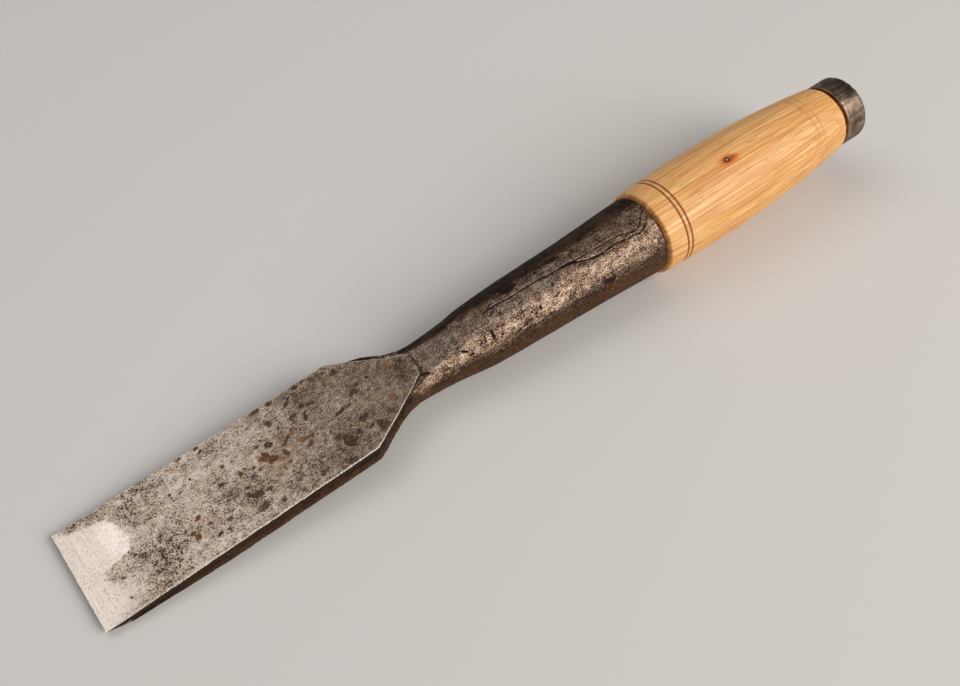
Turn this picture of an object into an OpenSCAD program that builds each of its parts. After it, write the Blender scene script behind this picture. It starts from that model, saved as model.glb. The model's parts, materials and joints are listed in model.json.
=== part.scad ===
// Socket framing chisel, lying flat side up on a level surface.
//
// Every part is drawn in the blade's own frame first: X runs from the cutting edge towards the
// handle, Z stands out of the flat face, and the middle of the cutting edge is the origin.
// lay_down() then tips the tool onto the heel of its bevel and the front rim of its handle,
// and moves the middle of its footprint to the origin.

/* [Blade] */
// Width of the cutting edge, the 2 in trade size
edge_w = 50.8; // [38:0.1:64]
// How much narrower the blade is at its shoulders
narrowing = 0.8; // [0:0.1:3]
// Cutting edge to the mean shoulder corner
shoulder_x = 122.3; // [105:0.1:135]
// How much further back the left shoulder corner sits than the right one
shoulder_skew = 3; // [0:0.5:5]
// Length of the ground bevel
bevel_len = 9.5; // [7:0.5:14]
// Thickness at the heel of the bevel
heel_t = 4.1; // [3:0.1:6]
// Distance from the edge to where the underside levels out
swell_x = 50; // [30:1:80]
// Thickness where the underside levels out
swell_t = 7.4; // [6:0.1:8]
// Thickness at the shoulders
shoulder_t = 8.4; // [8:0.1:10]

/* [Laid steel] */
// Thickness of the hard steel welded to the flat side
steel_t = 2.4; // [1.5:0.1:3]
// Where the steel starts to thin into its scarf
scarf_x = 130; // [110:1:140]
// Thickness left at the tip of the scarf
scarf_t = 0.6; // [0.3:0.1:1]
// Cutting edge to the tip of the steel
tip_x = 155.6; // [150:0.1:160]
// Width of the steel at its tip
tip_w = 11.4; // [8:0.1:14]

/* [Neck and socket] */
// How far the axis of bore and handle dips below the flat face, in degrees
dip = 1.43; // [0:0.01:3]
// How far the outside of the neck and socket dips below the flat face, in degrees
shell_dip = 2.3; // [1.5:0.1:2.5]
// Depth of the axis below the flat face, 200 mm from the edge
axis_depth = 9.4; // [8:0.1:11]
// How far the axis runs to the right of the blade's middle
axis_side = -0.6; // [-1.5:0.1:1.5]
// Radius of the neck
neck_r = 12.2; // [10:0.1:13]
// Where the neck is full round, behind the blade
neck_x = 152; // [145:1:156]
// How far the neck's rounded nose reaches forward under the blade
nose_len = 34; // [20:1:40]
// Rise of the flat on top of the neck, per mm of length
flat_rise = 0.25; // [0.15:0.01:0.4]
// Where the neck starts to open into the socket
flare_x = 156; // [152:1:162]
// Where the socket's straight cone starts
cone_x = 195; // [185:1:205]
// Distance from the edge to the socket's mouth
mouth_x = 282.5; // [270:0.5:290]
// Outer radius of the socket's mouth
mouth_r = 19.2; // [18:0.1:20.5]
// Growth of the cone's outer radius, per mm of length
cone_rise = 0.048; // [0.045:0.0005:0.052]
// Wall thickness at the socket's mouth
wall = 2.6; // [2:0.1:3.5]
// Rounding of the mouth's outer edge
lip_round = 0.8; // [0.3:0.1:1.5]
// Depth of the tapered bore
bore_depth = 78; // [60:1:85]
// Shrinking of the bore's radius, per mm of depth
bore_taper = 0.09; // [0.07:0.005:0.1]

/* [Handle] */
// Gap between the socket's mouth and the wood's shoulder
mouth_gap = 1.5; // [0.5:0.1:3]
// Radial clearance of the tenon in the bore, with the handle home
tenon_clearance = 0.05; // [0.02:0.01:0.1]
// Length of the tenon inside the socket
tenon_len = 70; // [50:1:74]
// Largest radius of the grip
grip_r = 22.2; // [20:0.1:24]
// Where the grip is fattest
grip_x = 330; // [320:1:340]
// Radius of the grip's front shoulder
front_r = 20.9; // [20:0.1:21.5]
// Radius of the grip just before its rear shoulder is rounded over
rear_r = 17.9; // [17:0.1:19]
// Where the rounding of the rear shoulder starts
rear_x = 402.2; // [396:0.1:403]
// Where the rear shoulder ends
rear_end_x = 405.7; // [404:0.1:406.5]
// Places of the two burnt grooves
groove_x = [293.2, 295.4];
// Radius of the burnt grooves' round bottom
groove_r = 0.65; // [0.4:0.05:0.9]

/* [Hoop] */
// Where the hoop starts
hoop_x = 406.9; // [406.6:0.1:408]
// Length of the hoop
hoop_len = 12.9; // [10:0.1:16]
// Outer radius of the hoop
hoop_r = 16.6; // [16:0.1:17.5]
// Wall thickness of the hoop
hoop_wall = 2.3; // [1.5:0.1:3]
// Rounding of the hoop's front edge
hoop_front_round = 0.5; // [0.3:0.1:1]
// Rounding of the hoop's struck edge
hoop_back_round = 1.4; // [0.5:0.1:2]

/* [Hidden] */
$fn = 96;
// Larger than any part, for cutting
big = 80;
// The station at which the axis's depth is stated
axis_x = 200;
// Number of steps in each drawn curve
steps = 12;
// Number of steps in each rounded corner
corner_steps = 5;
end_x = hoop_x + hoop_len;
seat_r = hoop_r - hoop_wall;
tip_y = tip_w / 2;
shoulder_y = (edge_w - narrowing) / 2;
left_x = shoulder_x + shoulder_skew / 2;
right_x = shoulder_x - shoulder_skew / 2;
bevel_slope = heel_t / bevel_len;
handle_x = mouth_x + mouth_gap;
bore_r = mouth_r - wall;
tenon_x = mouth_x - tenon_len;
// Rest on the heel of the bevel and the handle's front rim
rim_x = axis_x + (handle_x - axis_x) * cos(dip) - front_r * sin(dip);
rim_z = -axis_depth - (handle_x - axis_x) * sin(dip) - front_r * cos(dip);
tilt = atan((-heel_t - rim_z) / (rim_x - bevel_len));
lift = heel_t * cos(tilt) - bevel_len * sin(tilt);
// Reach of the struck end's rounded rim along the level surface
round_x = axis_x + (end_x - hoop_back_round - axis_x) * cos(dip);
round_z = -axis_depth - (end_x - hoop_back_round - axis_x) * sin(dip);
reach = round_x * cos(tilt) - round_z * sin(tilt)
    + (hoop_r - hoop_back_round) * sin(tilt - dip) + hoop_back_round;

// Radius of the straight cone of the socket, at x from the edge
function cone_r(x) = mouth_r - (mouth_x - x) * cone_rise;
// Smooth step from 0 to 1
function ease(t) = t * t * (3 - 2 * t);
// Outer radius of the neck and socket
function shell_r(x) =
    x >= cone_x ? cone_r(x)
    : x <= flare_x ? neck_r
    : neck_r + (cone_r(x) - neck_r) * ease((x - flare_x) / (cone_x - flare_x));
// Radius of the grip, a flat arc each side of its fattest place
function grip_rise(x) =
    x < grip_x
    ? (grip_r - front_r) * pow((grip_x - x) / (grip_x - handle_x), 2)
    : (grip_r - rear_r) * pow((x - grip_x) / (rear_x - grip_x), 2);
// Quarter of an ellipse from [r, x] = from to to, turning at the first one's radius
function corner(from, to) = [
    for (i = [0:corner_steps])
    let (a = 90 * i / corner_steps)
    [from[0] + (to[0] - from[0]) * (1 - cos(a)), from[1] + (to[1] - from[1]) * sin(a)]
];

// Puts a part that is drawn around X onto the axis of bore and handle
module on_axis() {
    translate([axis_x, axis_side, -axis_depth])
        rotate([0, dip, 0])
            translate([-axis_x, 0, 0])
                children();
}

// Turns a part that is drawn on that axis about the socket's mouth, by the shell's extra dip
module on_shell_axis() {
    on_axis()
        translate([mouth_x, 0, 0])
            rotate([0, shell_dip - dip, 0])
                translate([-mouth_x, 0, 0])
                    children();
}

// Turns an outline of [radius, x] points into a round part around X
module turned() {
    rotate([0, 90, 0])
        rotate_extrude()
            children();
}

// Stands a side view of [x, z] points up and gives it the blade's width
module side_view(points) {
    rotate([90, 0, 0])
        linear_extrude(height = big, center = true)
            polygon(points);
}

// Tips the tool onto its two places of rest, with the middle of its footprint at the origin
module lay_down() {
    translate([-reach / 2, 0, lift])
        rotate([0, -tilt, 0])
            children();
}

// The outline of the flat face, as thick as the forging
module face_outline() {
    translate([0, 0, -big / 2])
        linear_extrude(height = big)
            polygon([
                [0, -edge_w / 2],
                [right_x, -shoulder_y],
                [tip_x, -tip_y],
                [tip_x, tip_y],
                [left_x, shoulder_y],
                [0, edge_w / 2]
            ]);
}

// The laid steel: full thickness from the bevel back, then thinning into its scarf
module steel_blank() {
    intersection() {
        face_outline();
        side_view([
            [0, 0],
            [steel_t / bevel_slope, -steel_t],
            [scarf_x, -steel_t],
            [tip_x, -scarf_t],
            [tip_x, 0]
        ]);
    }
}

// The iron under the steel
module iron_blank() {
    intersection() {
        face_outline();
        side_view([
            [steel_t / bevel_slope, -steel_t],
            [bevel_len, -heel_t],
            [swell_x, -swell_t],
            [shoulder_x, -shoulder_t],
            [tip_x, -shoulder_t],
            [tip_x, -scarf_t],
            [scarf_x, -steel_t]
        ]);
    }
}

// The round neck and the socket, with a rounded nose under the blade
module neck_and_socket() {
    nose = [
        for (i = [0:steps])
        let (a = 90 * i / steps)
        [neck_r * sin(a), neck_x - nose_len * cos(a)]
    ];
    shell = [
        for (i = [0:2 * steps])
        let (x = flare_x + (cone_x - flare_x) * i / (2 * steps))
        [shell_r(x), x]
    ];
    lip = corner([mouth_r, mouth_x - lip_round], [mouth_r - lip_round, mouth_x]);
    on_shell_axis()
        turned()
            polygon(concat(nose, shell, lip, [[0, mouth_x]]));
}

// Everything above the flat face, and above the flat that climbs the neck behind it
module above_the_flat() {
    run = big;
    side_view([
        [-big, 0],
        [tip_x, 0],
        [tip_x + run, run * flat_rise],
        [tip_x + run, big],
        [-big, big]
    ]);
}

// The tapered bore, with the blunt point that forging leaves at its bottom
module socket_bore() {
    over = 2;
    on_axis()
        turned()
            polygon([
                [0, mouth_x + over],
                [bore_r + over * bore_taper, mouth_x + over],
                [bore_r - bore_depth * bore_taper, mouth_x - bore_depth],
                [0, mouth_x - bore_depth - 4]
            ]);
}

// The iron forging: the back of the blade, the neck and the socket in one piece
module blade_socket() {
    color([0.27, 0.25, 0.23])
        lay_down()
            difference() {
                union() {
                    iron_blank();
                    neck_and_socket();
                }
                above_the_flat();
                steel_blank();
                socket_bore();
            }
}

// The hard steel on the flat side, which carries the cutting edge
module steel_face() {
    color([0.62, 0.6, 0.57])
        lay_down()
            steel_blank();
}

// The turned handle: tenon, grip with two burnt grooves, and the seat of the hoop
module handle() {
    tenon_r = bore_r - tenon_clearance;
    grip = [
        for (i = [0:2 * steps])
        let (x = handle_x + 1 + (rear_x - handle_x - 1) * i / (2 * steps))
        [grip_r - grip_rise(x), x]
    ];
    rear = corner([rear_r, rear_x], [seat_r + 1.2, rear_end_x]);
    color([0.84, 0.68, 0.45])
        lay_down()
            on_axis()
                turned()
                    difference() {
                        polygon(concat(
                            [
                                [0, tenon_x],
                                [tenon_r - tenon_len * bore_taper - 1, tenon_x],
                                [tenon_r - (tenon_len - 1) * bore_taper, tenon_x + 1],
                                [tenon_r, mouth_x],
                                [tenon_r, handle_x],
                                [front_r, handle_x]
                            ],
                            grip,
                            rear,
                            [
                                [seat_r, rear_end_x],
                                [seat_r, end_x],
                                [0, end_x]
                            ]
                        ));
                        for (x = groove_x)
                            translate([grip_r - grip_rise(x) + groove_r / 4, x])
                                circle(r = groove_r, $fn = 24);
                    }
}

// The steel hoop that keeps the struck end from splitting
module hoop() {
    front = hoop_x + hoop_front_round;
    back = end_x - hoop_back_round;
    color([0.35, 0.35, 0.36])
        lay_down()
            on_axis()
                turned()
                    polygon(concat(
                        [
                            [seat_r, hoop_x],
                            [hoop_r - hoop_front_round, hoop_x],
                            [hoop_r, front]
                        ],
                        corner([hoop_r, back], [hoop_r - hoop_back_round, end_x]),
                        [[seat_r, end_x]]
                    ));
}

blade_socket();
steel_face();
handle();
hoop();
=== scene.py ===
import json
import math

import bmesh
import bpy
import numpy as np
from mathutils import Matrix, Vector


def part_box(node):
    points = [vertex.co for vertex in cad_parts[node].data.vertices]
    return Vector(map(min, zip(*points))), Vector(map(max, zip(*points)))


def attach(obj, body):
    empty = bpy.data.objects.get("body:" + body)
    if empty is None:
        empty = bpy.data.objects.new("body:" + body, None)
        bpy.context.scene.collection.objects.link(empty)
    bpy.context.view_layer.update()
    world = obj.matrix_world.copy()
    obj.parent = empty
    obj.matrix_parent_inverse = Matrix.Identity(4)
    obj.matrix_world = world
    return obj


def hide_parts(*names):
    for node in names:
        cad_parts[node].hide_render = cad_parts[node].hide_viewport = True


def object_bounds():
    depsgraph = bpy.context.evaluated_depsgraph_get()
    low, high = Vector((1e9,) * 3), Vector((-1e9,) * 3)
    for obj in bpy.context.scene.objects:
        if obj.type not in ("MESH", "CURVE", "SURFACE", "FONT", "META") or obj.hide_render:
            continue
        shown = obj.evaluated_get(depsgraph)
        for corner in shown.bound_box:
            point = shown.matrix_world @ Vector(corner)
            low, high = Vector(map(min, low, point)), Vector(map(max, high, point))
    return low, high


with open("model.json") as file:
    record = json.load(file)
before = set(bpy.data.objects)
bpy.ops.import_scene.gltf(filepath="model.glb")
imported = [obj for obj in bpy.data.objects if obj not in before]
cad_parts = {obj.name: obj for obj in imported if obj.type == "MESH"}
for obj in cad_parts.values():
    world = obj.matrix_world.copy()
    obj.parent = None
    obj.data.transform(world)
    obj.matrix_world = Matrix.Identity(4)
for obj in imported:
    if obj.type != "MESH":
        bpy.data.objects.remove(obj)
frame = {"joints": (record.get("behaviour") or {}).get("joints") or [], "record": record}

cad_low, cad_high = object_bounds()

# The pieces are drawn in millimetres in the blade's own frame: X runs along the flat face from the
# cutting edge to the handle, Z stands out of that face, and the middle of the edge is the origin.
# Round pieces use a frame along the handle's axis with the same X. Angles round an axis are in
# degrees from the top, growing towards the right side of the tool, which is -Y.
MM = 0.001
MOUNT = {m["name"]: m for m in frame["record"]["mounts"]}

# Stations along the tool, and radii
TIP_X = 155.6
STEEL_T = 2.4
SCARF_X, SCARF_T = 130.0, 0.6
HEEL_X, HEEL_T = 9.5, 4.1
SWELL_X, SWELL_T = 50.0, 7.4
SHOULDER_LEFT, SHOULDER_RIGHT, SHOULDER_T = 125.2, 120.8, 8.4
HALF_EDGE, HALF_SHOULDER, HALF_TIP = 25.4, 25.0, 5.7
SHELL_SLOPE = math.tan(math.radians(2.3))
NECK_X, NECK_R, CONE_X, MOUTH_X, MOUTH_R, CONE_RISE = 152.0, 11.1, 190.0, 282.5, 19.2, 0.048
BORE_R, BORE_DEPTH, BORE_TAPER = 16.6, 78.0, 0.09
WOOD_X, TENON_LEN, CLEARANCE = 284.0, 70.0, 0.05
GRIP_X, GRIP_R, FRONT_R, REAR_X, REAR_R, REAR_END = 330.0, 22.2, 20.9, 400.6, 17.7, 405.3
GROOVES = (293.5, 296.0)
WORN_FRONT, WORN_REAR = 384.4, 388.2
HOOP_X, END_X, HOOP_R, SEAT_R = 406.9, 419.8, 16.6, 14.3


# ---------------------------------------------------------------- frames

def blade_frame():
    """The matrix and origin that take blade-frame millimetres to the row frame in metres."""
    normal = np.array(MOUNT["back_face"]["axis"])
    point = np.array(MOUNT["back_face"]["pos_m"])
    along = np.cross((0.0, 1.0, 0.0), normal)
    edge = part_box("steel_face")[0].x
    origin = point + along * (edge - point[0]) / along[0]
    return np.stack((along, (0.0, 1.0, 0.0), normal)), origin


BLADE, EDGE = blade_frame()


def handle_frame():
    """The same for the handle's axis, given in the blade frame."""
    along = BLADE @ np.array(frame["joints"][0]["axis"])
    end = BLADE @ (np.array(MOUNT["striking_face"]["pos_m"]) - EDGE) / MM
    up = np.cross(along, (0.0, 1.0, 0.0))
    return np.stack((along, (0.0, 1.0, 0.0), up)), end - along * END_X


AXIS, AXIS_START = handle_frame()
MOUTH = AXIS_START + AXIS[0] * MOUTH_X


def from_axis(points):
    """Points of the handle's frame in the blade frame."""
    return points @ AXIS + AXIS_START


def round_points(s, r, angle):
    """Points round the handle's axis, at each station, radius and angle."""
    s, r, angle = np.broadcast_arrays(s, r, angle)
    return np.stack((s, -r * np.sin(angle), r * np.cos(angle)), -1)


def revolve(profile, count):
    """Stations, radii, angles and points of a profile carried round the handle's axis."""
    turns = np.radians(np.linspace(-180, 180, count, endpoint=False))
    s = np.repeat(profile[:, :1], count, 1)
    r = np.repeat(profile[:, 1:], count, 1)
    angle = np.repeat(turns[None, :], len(profile), 0)
    return s, r, angle, round_points(s, r, angle)


def shell_z(x):
    """Height of the centre line of the neck's and socket's outside."""
    return MOUTH[2] - (x - MOUTH[0]) * SHELL_SLOPE


# ---------------------------------------------------------------- small maths

def ease(low, high, x):
    """A smooth step from 0 at low to 1 at high."""
    t = np.clip((x - low) / (high - low), 0.0, 1.0)
    return t * t * (3 - 2 * t)


def bump(x, centre, width):
    """A soft hump of height 1."""
    return np.exp(-(((x - centre) / width) ** 2))


def soft_max(a, b, k):
    """The larger of a and b, with the corner between them filled over k."""
    h = np.clip(0.5 + 0.5 * (a - b) / k, 0.0, 1.0)
    return b + (a - b) * h + k * h * (1 - h)


def soft_min(a, b, k):
    return -soft_max(-a, -b, k)


def lattice(x, y, z, seed):
    """A random number from -1 to 1 for each whole-number point."""
    h = (x * 73856093) ^ (y * 19349663) ^ (z * 83492791) ^ (seed * 40503 + 17)
    h = ((h ^ (h >> 13)) * 1274126177) & 0xFFFFFFFF
    h = ((h ^ (h >> 15)) * 2246822519) & 0xFFFFFFFF
    return ((h ^ (h >> 16)) & 0xFFFF) / 32767.5 - 1.0


def noise(points, size, seed):
    """Smooth random values from -1 to 1, with features about size long on each axis."""
    p = points / np.asarray(size, float)
    base = np.floor(p).astype(np.int64)
    f = p - base
    f = f * f * (3 - 2 * f)
    total = 0.0
    for corner in np.ndindex(2, 2, 2):
        weight = 1.0
        for i in range(3):
            weight = weight * (f[..., i] if corner[i] else 1 - f[..., i])
        total = total + weight * lattice(*(base[..., i] + corner[i] for i in range(3)), seed)
    return total


def cloud(points, size, seed, octaves=4):
    """Layers of noise, each half the size of the one before."""
    total, reach = 0.0, 0.0
    for i in range(octaves):
        total = total + noise(points, np.asarray(size) / 2 ** i, seed + i) * 0.55 ** i
        reach += 0.55 ** i
    return total / reach


def pits(u, v, seed, count, area, radius, depth):
    """How deep each point lies in one of count small round pits, scattered over area."""
    rng = np.random.default_rng(seed)
    (u0, u1), (v0, v1) = area
    sink = np.zeros(u.shape)
    for _ in range(count):
        r = rng.uniform(*radius) * rng.uniform(0.6, 1.0)
        stretch, turn = rng.uniform(0.6, 1.5), rng.uniform(0, math.pi)
        du, dv = u - rng.uniform(u0, u1), v - rng.uniform(v0, v1)
        near = (np.abs(du) < 2 * r) & (np.abs(dv) < 2 * r)
        a = du[near] * math.cos(turn) + dv[near] * math.sin(turn)
        b = dv[near] * math.cos(turn) - du[near] * math.sin(turn)
        d = np.sqrt((a / stretch) ** 2 + (b * stretch) ** 2) / r
        sink[near] = np.maximum(sink[near], rng.uniform(*depth) * (1 - ease(0.5, 1.0, d)))
    return sink


def spots(u, v, warp, marks, soft=0.45):
    """How strongly each point is marked by a list of (u, v, length, width, turn, strength)."""
    field = np.zeros(u.shape)
    for mu, mv, length, width, turn, strength in marks:
        t = math.radians(turn)
        a = (u - mu) * math.cos(t) + (v - mv) * math.sin(t)
        b = (v - mv) * math.cos(t) - (u - mu) * math.sin(t)
        d = np.hypot(a / (length / 2), b / (width / 2)) + 0.9 * warp
        field = np.maximum(field, strength * (1 - ease(1 - soft, 1 + soft, d)))
    return field


def line_gap(u, v, route):
    """Distance from each point to a line through the route's points."""
    gap = np.full(u.shape, 1e6)
    for (u0, v0), (u1, v1) in zip(route[:-1], route[1:]):
        du, dv = u1 - u0, v1 - v0
        t = np.clip(((u - u0) * du + (v - v0) * dv) / (du * du + dv * dv), 0, 1)
        gap = np.minimum(gap, np.hypot(u - u0 - t * du, v - v0 - t * dv))
    return gap


def knots(*parts):
    """Stations that run through parts of (end, spacing), from the first one's start."""
    out = [parts[0]]
    for end, step in parts[1:]:
        count = max(1, round((end - out[-1]) / step))
        out.extend(np.linspace(out[-1], end, count + 1)[1:])
    return np.array(out)


# ---------------------------------------------------------------- mesh making

def surface_normals(rings):
    """Outward normals of a grid of points whose second index runs round the piece."""
    along = np.gradient(rings, axis=0)
    round_it = (np.roll(rings, -1, axis=1) - np.roll(rings, 1, axis=1)) / 2
    n = np.cross(along, round_it)
    n /= np.maximum(np.linalg.norm(n, axis=2, keepdims=True), 1e-9)
    centre = rings.mean(axis=1, keepdims=True)
    if ((rings - centre) * n).sum() < 0:
        n = -n
    return n


def end_centres(rings):
    """The middle of the first ring and of the last."""
    return np.stack((rings[0].mean(0), rings[-1].mean(0)))


def lofted(name, rings, places, fields, body, node, slot, material):
    """A closed piece through rings of points in the blade frame, with a fan closing each end."""
    count, round_n = rings.shape[:2]
    flat = rings.reshape(-1, 3)
    points = (np.concatenate((flat, end_centres(rings))) @ BLADE) * MM + EDGE
    points = np.clip(points, list(cad_low), list(cad_high))
    i = np.arange(count - 1)[:, None] * round_n
    j = np.arange(round_n)[None, :]
    k = (j + 1) % round_n
    quads = np.stack((i + j, i + k, i + round_n + k, i + round_n + j), -1).reshape(-1, 4)
    j, k, last = np.arange(round_n), (np.arange(round_n) + 1) % round_n, (count - 1) * round_n
    first_fan = np.stack((np.full(round_n, len(flat)), k, j), -1)
    last_fan = np.stack((np.full(round_n, len(flat) + 1), last + j, last + k), -1)
    mesh = bpy.data.meshes.new(name)
    mesh.from_pydata(points.tolist(), [], quads.tolist() + first_fan.tolist() + last_fan.tolist())
    mesh.validate()
    mesh.update()
    where = np.concatenate((places.reshape(-1, 3), end_centres(places)))
    mesh.attributes.new("place", "FLOAT_VECTOR", "POINT").data.foreach_set("vector", where.ravel())
    for key, field in fields.items():
        values = np.concatenate((field.ravel(), end_centres(field[..., None]).ravel()))
        mesh.attributes.new(key, "FLOAT", "POINT").data.foreach_set("value", values)
    mesh.polygons.foreach_set("use_smooth", np.ones(len(mesh.polygons), bool))
    piece = bpy.data.objects.new(name, mesh)
    bpy.context.scene.collection.objects.link(piece)
    turn_outwards(piece)
    mesh.materials.append(material)
    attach(piece, body)
    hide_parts(node)
    return piece


def turn_outwards(piece):
    """Makes the faces look outwards, from the sign of the volume that they enclose."""
    mesh = piece.data
    mesh.calc_loop_triangles()
    corners = np.empty(len(mesh.loop_triangles) * 3, np.int32)
    mesh.loop_triangles.foreach_get("vertices", corners)
    co = np.empty(len(mesh.vertices) * 3)
    mesh.vertices.foreach_get("co", co)
    a, b, c = co.reshape(-1, 3)[corners.reshape(-1, 3)].transpose(1, 0, 2)
    if (a * np.cross(b, c)).sum() < 0:
        mesh.flip_normals()


# ---------------------------------------------------------------- outline of the blade

def half_width(x, side):
    """Half the width of the flat face at x. side is 1 on the left, -1 on the right."""
    shoulder = SHOULDER_LEFT if side > 0 else SHOULDER_RIGHT
    xs = (0.0, shoulder, TIP_X)
    w = np.interp(x, xs, (HALF_EDGE, HALF_SHOULDER, HALF_TIP))
    here = np.stack((x, np.full_like(x, 3.0 * side), np.zeros_like(x)), -1)
    wobble = 0.12 * cloud(here, (9.0, 1.0, 1.0), 5) + 0.1 * noise(here, (2.2, 1.0, 1.0), 6)
    w = w + wobble * ease(2.0, 20.0, x)
    w = w - 0.2 * bump(x, shoulder, 1.2)
    if side > 0:
        w = w + 0.6 * bump(x, 135.0, 8.0) - 0.9 * bump(x, 147.2, 1.1) + 0.4 * bump(x, 152.0, 2.5)
    return w


def steel_bottom(x):
    return -np.interp(x, (0.0, STEEL_T * HEEL_X / HEEL_T, SCARF_X, TIP_X), (0.0, STEEL_T, STEEL_T, SCARF_T))


def underside(x):
    """Height of the underside of the blade."""
    xs = (0.0, HEEL_X, SWELL_X, SHOULDER_RIGHT, TIP_X)
    t = np.interp(x, xs, (0.0, HEEL_T, SWELL_T, SHOULDER_T, SHOULDER_T))
    return -t


# ---------------------------------------------------------------- marks seen on the blade

# Dark blotches on the flat face: x, y, length, width, turn, strength
BLOTCHES = (
    (87, 5.5, 3, 2.6, 0, 0.9), (83, 8.2, 2.6, 1.6, 20, 0.8), (85.6, 9.6, 1.3, 1.3, 0, 0.8),
    (92.5, 14.8, 2.4, 3, 0, 0.65), (90.8, 23.6, 3.4, 2.4, 0, 0.9), (97.6, 23.4, 2.2, 2.6, 60, 0.8),
    (103.8, 18.8, 4, 2, 40, 0.6), (101.6, 11, 3.2, 1.4, 10, 0.75), (107.2, 13, 2, 2, 0, 0.6),
    (111, 11.8, 3.4, 1.2, -20, 0.65), (106, 7.6, 4.6, 1.5, 65, 0.75), (94.3, 10, 1.4, 1.8, 0, 0.5),
    (109.5, 23.5, 2.6, 2, 0, 0.7), (72, -11.6, 4.6, 3.2, -20, 0.8), (77.2, -12.6, 3, 2, 10, 0.6),
    (70.5, -6.2, 2, 1.4, 0, 0.7), (75, -3.4, 3.2, 2.4, 0, 0.5), (79, -20.4, 2.4, 2, 0, 0.85),
    (63, 1.6, 2.6, 1.6, 0, 0.6), (58.2, -14, 2.2, 2.2, 0, 0.55), (71, -18, 5, 3.5, 30, 0.5),
    (110, -5.6, 1.2, 1.9, 0, 0.9), (110.6, -9.6, 3, 2, 0, 0.6), (114.3, -15.3, 5, 5.6, 10, 0.95),
    (113.4, -12, 3, 2.4, 0, 0.7), (119, -13.4, 2.6, 2.4, 0, 0.5), (124, -9, 4.4, 3, 25, 0.6),
    (124.2, -14.6, 3.4, 1.4, 20, 0.6), (128, -15, 2.4, 2.6, 0, 0.65), (128.4, -18, 5, 2.6, 20, 0.5),
    (131, 7.2, 2.2, 2.2, 0, 0.6), (136.4, 7.4, 2, 1.8, 0, 0.65), (138.5, 5.6, 1.5, 1.3, 0, 0.6),
    (122.6, 0.6, 2.6, 1.3, 10, 0.75), (118.2, -0.2, 4.6, 1.8, 20, 0.7), (127, 19, 3.4, 3, 0, 0.6),
    (134.6, -13, 3.4, 2.6, 0, 0.4), (133.8, 1.4, 2.4, 2, 0, 0.45), (100, -5.6, 7, 2.6, 40, 0.45),
    (98, -20.4, 4, 3, 0, 0.45), (110, -23, 5, 2.6, 0, 0.45), (54.6, 12.5, 1, 1, 0, 0.8),
    (45, 11.4, 1.1, 1, 0, 0.8), (48.6, 9.4, 1.3, 0.9, 0, 0.8), (67.4, 9.2, 1.8, 1.8, 0, 0.6),
    (63.2, 24.2, 1.8, 1.6, 0, 0.9), (64, 21.4, 2, 1.3, 30, 0.8), (55.5, 24.2, 1.3, 1.1, 0, 0.7),
    (29.6, 23.6, 1.9, 1.1, -50, 0.8), (14.6, -9.6, 1.1, 0.8, -30, 0.95), (56.4, -17.8, 1.4, 1, 0, 0.9),
    (52.4, -17.4, 2, 1.2, 20, 0.8), (35, -17.6, 1.9, 1, 0, 0.85), (13.6, -19, 0.8, 0.8, 0, 0.6),
    (141, 15.4, 2.2, 1.4, -40, 0.6), (127.7, 4.6, 3.8, 3, 5, 0.65), (147.6, -3, 4, 6, 0, 0.35),
    (119, 22, 6, 3, 0, 0.35), (87, -9, 1.2, 3.4, 10, 0.5), (148.5, 2, 3, 7, 0, 0.3),
    (64, -5.4, 5, 6, 0, 0.3),
)
# Rust-brown spots on the flat face
RUST = (
    (49, -5.6, 2.3, 2, 0, 1), (44.2, -10.4, 2, 2, 0, 0.75), (45.2, -12.8, 2.4, 2.6, 30, 0.9),
    (46.8, -9.2, 1.8, 1, 40, 0.7), (51.6, -10.8, 2.2, 1.8, -30, 0.8), (51.4, -7.6, 0.8, 4.6, 8, 0.5),
    (71.6, 1, 1.9, 2.4, 0, 0.9), (74, 2, 2.8, 1.1, -30, 0.8), (77, -0.2, 2, 1.6, 0, 0.9),
    (79, -2.4, 2.4, 1.5, 0, 0.8), (81.4, 1.6, 2.4, 2, 20, 0.85), (83.6, 1.8, 4.6, 3.2, 60, 0.95),
    (85.4, -1.4, 4, 3.2, 0, 0.9), (90.8, -2, 2.8, 3.2, 20, 0.85), (93.6, 2.6, 6, 1.8, 40, 0.8),
    (97.8, 6, 3, 1.6, 70, 0.6), (90.2, -7, 2, 1.4, 0, 0.8), (100.5, -1.6, 6, 2.4, 0, 0.55),
    (103.6, -2, 3, 1.4, 45, 0.6), (107.4, -6, 1.6, 3, 0, 0.45), (145, 6.4, 3.4, 3.6, 0, 0.45),
    (139, -8, 4, 3.4, 0, 0.45), (120.4, 18.6, 2, 3, 0, 0.4), (112, -5.4, 2, 1, 0, 0.5),
    (88, -4, 16, 9, 15, 0.28), (48, -9, 12, 9, 0, 0.22), (66.5, 6.4, 2, 1.4, 20, 0.5),
)
# A long scratch across the face
SCRATCH = ((98.2, 2), (98.4, 9), (99.4, 17))
# Where lapping has left the steel bright, as the reach from the edge at each y
LAP_Y = (-25.4, -22, -17, -12, -10, -6, -3, -1.2, 0, 8, 14, 18, 19.5, 22, 25.4)
LAP_X = (7, 14, 17, 15, 11, 9, 11, 18, 22.5, 23.5, 22, 20.5, 14, 6, 2)
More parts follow.
